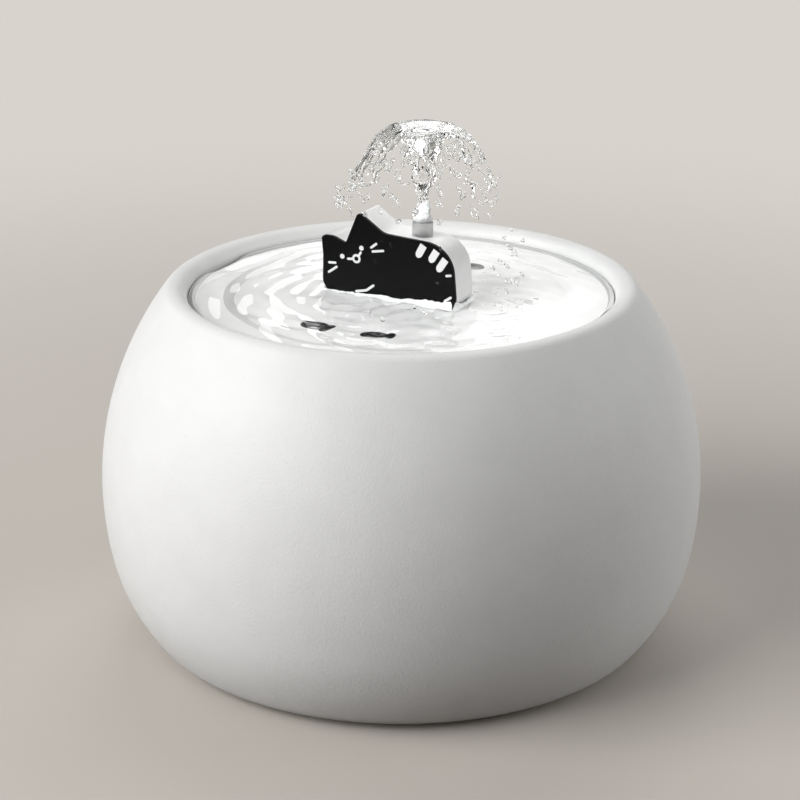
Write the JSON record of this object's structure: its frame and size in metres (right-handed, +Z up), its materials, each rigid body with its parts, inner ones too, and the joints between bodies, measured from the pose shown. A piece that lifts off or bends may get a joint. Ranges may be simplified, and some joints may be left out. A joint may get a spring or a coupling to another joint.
{
  "type": "pet water fountain",
  "caption": "Round tabletop pet water fountain: bowl, lift-off drinking tray with fish-shaped drains, cat-shaped nozzle cover, ring filter and submersible pump.",
  "frame": {"origin": "centre of the underside, on the table, under the middle of the foot pads", "axes": "+Z up; the cat's face looks to -Y and its head is towards -X; the lead leaves the bowl at +Y"},
  "size_m": [0.22, 0.22, 0.159],
  "materials": {
    "bowl_ceramic": "matte white glaze with a fine grain",
    "tray_white": "glossy white ABS",
    "shell_white": "satin white ABS",
    "plate_black": "satin black ABS",
    "clear_tube": "clear moulded plastic",
    "dark_rubber": "matte black rubber",
    "white_rubber": "matte white silicone",
    "clear_rubber": "translucent silicone",
    "filter_grey": "matte dark grey polypropylene",
    "cotton_white": "white non-woven felt",
    "carbon_black": "black granules in felt",
    "resin_amber": "amber resin beads in felt",
    "pump_black": "matte black ABS",
    "knob_grey": "matte grey acetal",
    "sponge_grey": "open-cell foam",
    "magnet_black": "coated ferrite",
    "shaft_ceramic": "polished ceramic"
  },
  "bodies": {
    "bowl": {"bowl": "bowl_ceramic", "foot_pads": "dark_rubber", "cord_grommet": "white_rubber", "riser_tube": "clear_tube", "riser_seal": "dark_rubber", "pump_housing": "pump_black", "volute_cover": "pump_black", "strainer_cap": "pump_black", "pump_sponge": "sponge_grey", "impeller_shaft": "shaft_ceramic", "shaft_bushes": "dark_rubber", "suction_cups": "clear_rubber", "lead_gland": "dark_rubber"},
    "tray": {"tray": "tray_white", "filter_hanger": "tray_white"},
    "cat": {"cat_shell": "shell_white", "cat_face_plate": "plate_black", "cat_base": "shell_white", "nozzle_tip": "clear_tube"},
    "filter": {"filter_basket": "filter_grey", "filter_lid": "filter_grey", "filter_cotton": "cotton_white", "filter_carbon": "carbon_black", "filter_resin": "resin_amber"},
    "rotor": {"impeller": "knob_grey", "impeller_magnet": "magnet_black"},
    "flow_knob": {"flow_knob": "knob_grey", "flow_shutter": "knob_grey"}
  },
  "joints": [
    {"name": "tray_lift", "type": "slide", "parent": "bowl", "child": "tray", "axis": [0, 0, 1], "range_m": [0, 0.12]},
    {"name": "cat_lift", "type": "slide", "parent": "tray", "child": "cat", "axis": [0, 0, 1], "range_m": [0, 0.05]},
    {"name": "filter_turn", "type": "hinge", "parent": "tray", "child": "filter", "pos_m": [0, 0, 0.1127], "axis": [0, 0, 1], "range_deg": [0, 20]},
    {"name": "impeller_spin", "type": "hinge", "parent": "bowl", "child": "rotor", "pos_m": [0.0021, 0, 0.0315], "axis": [0, 1, 0], "continuous": true},
    {"name": "flow_knob_turn", "type": "hinge", "parent": "bowl", "child": "flow_knob", "pos_m": [0.0021, -0.0174, 0.0315], "axis": [0, 1, 0], "range_deg": [0, 15]}
  ]
}
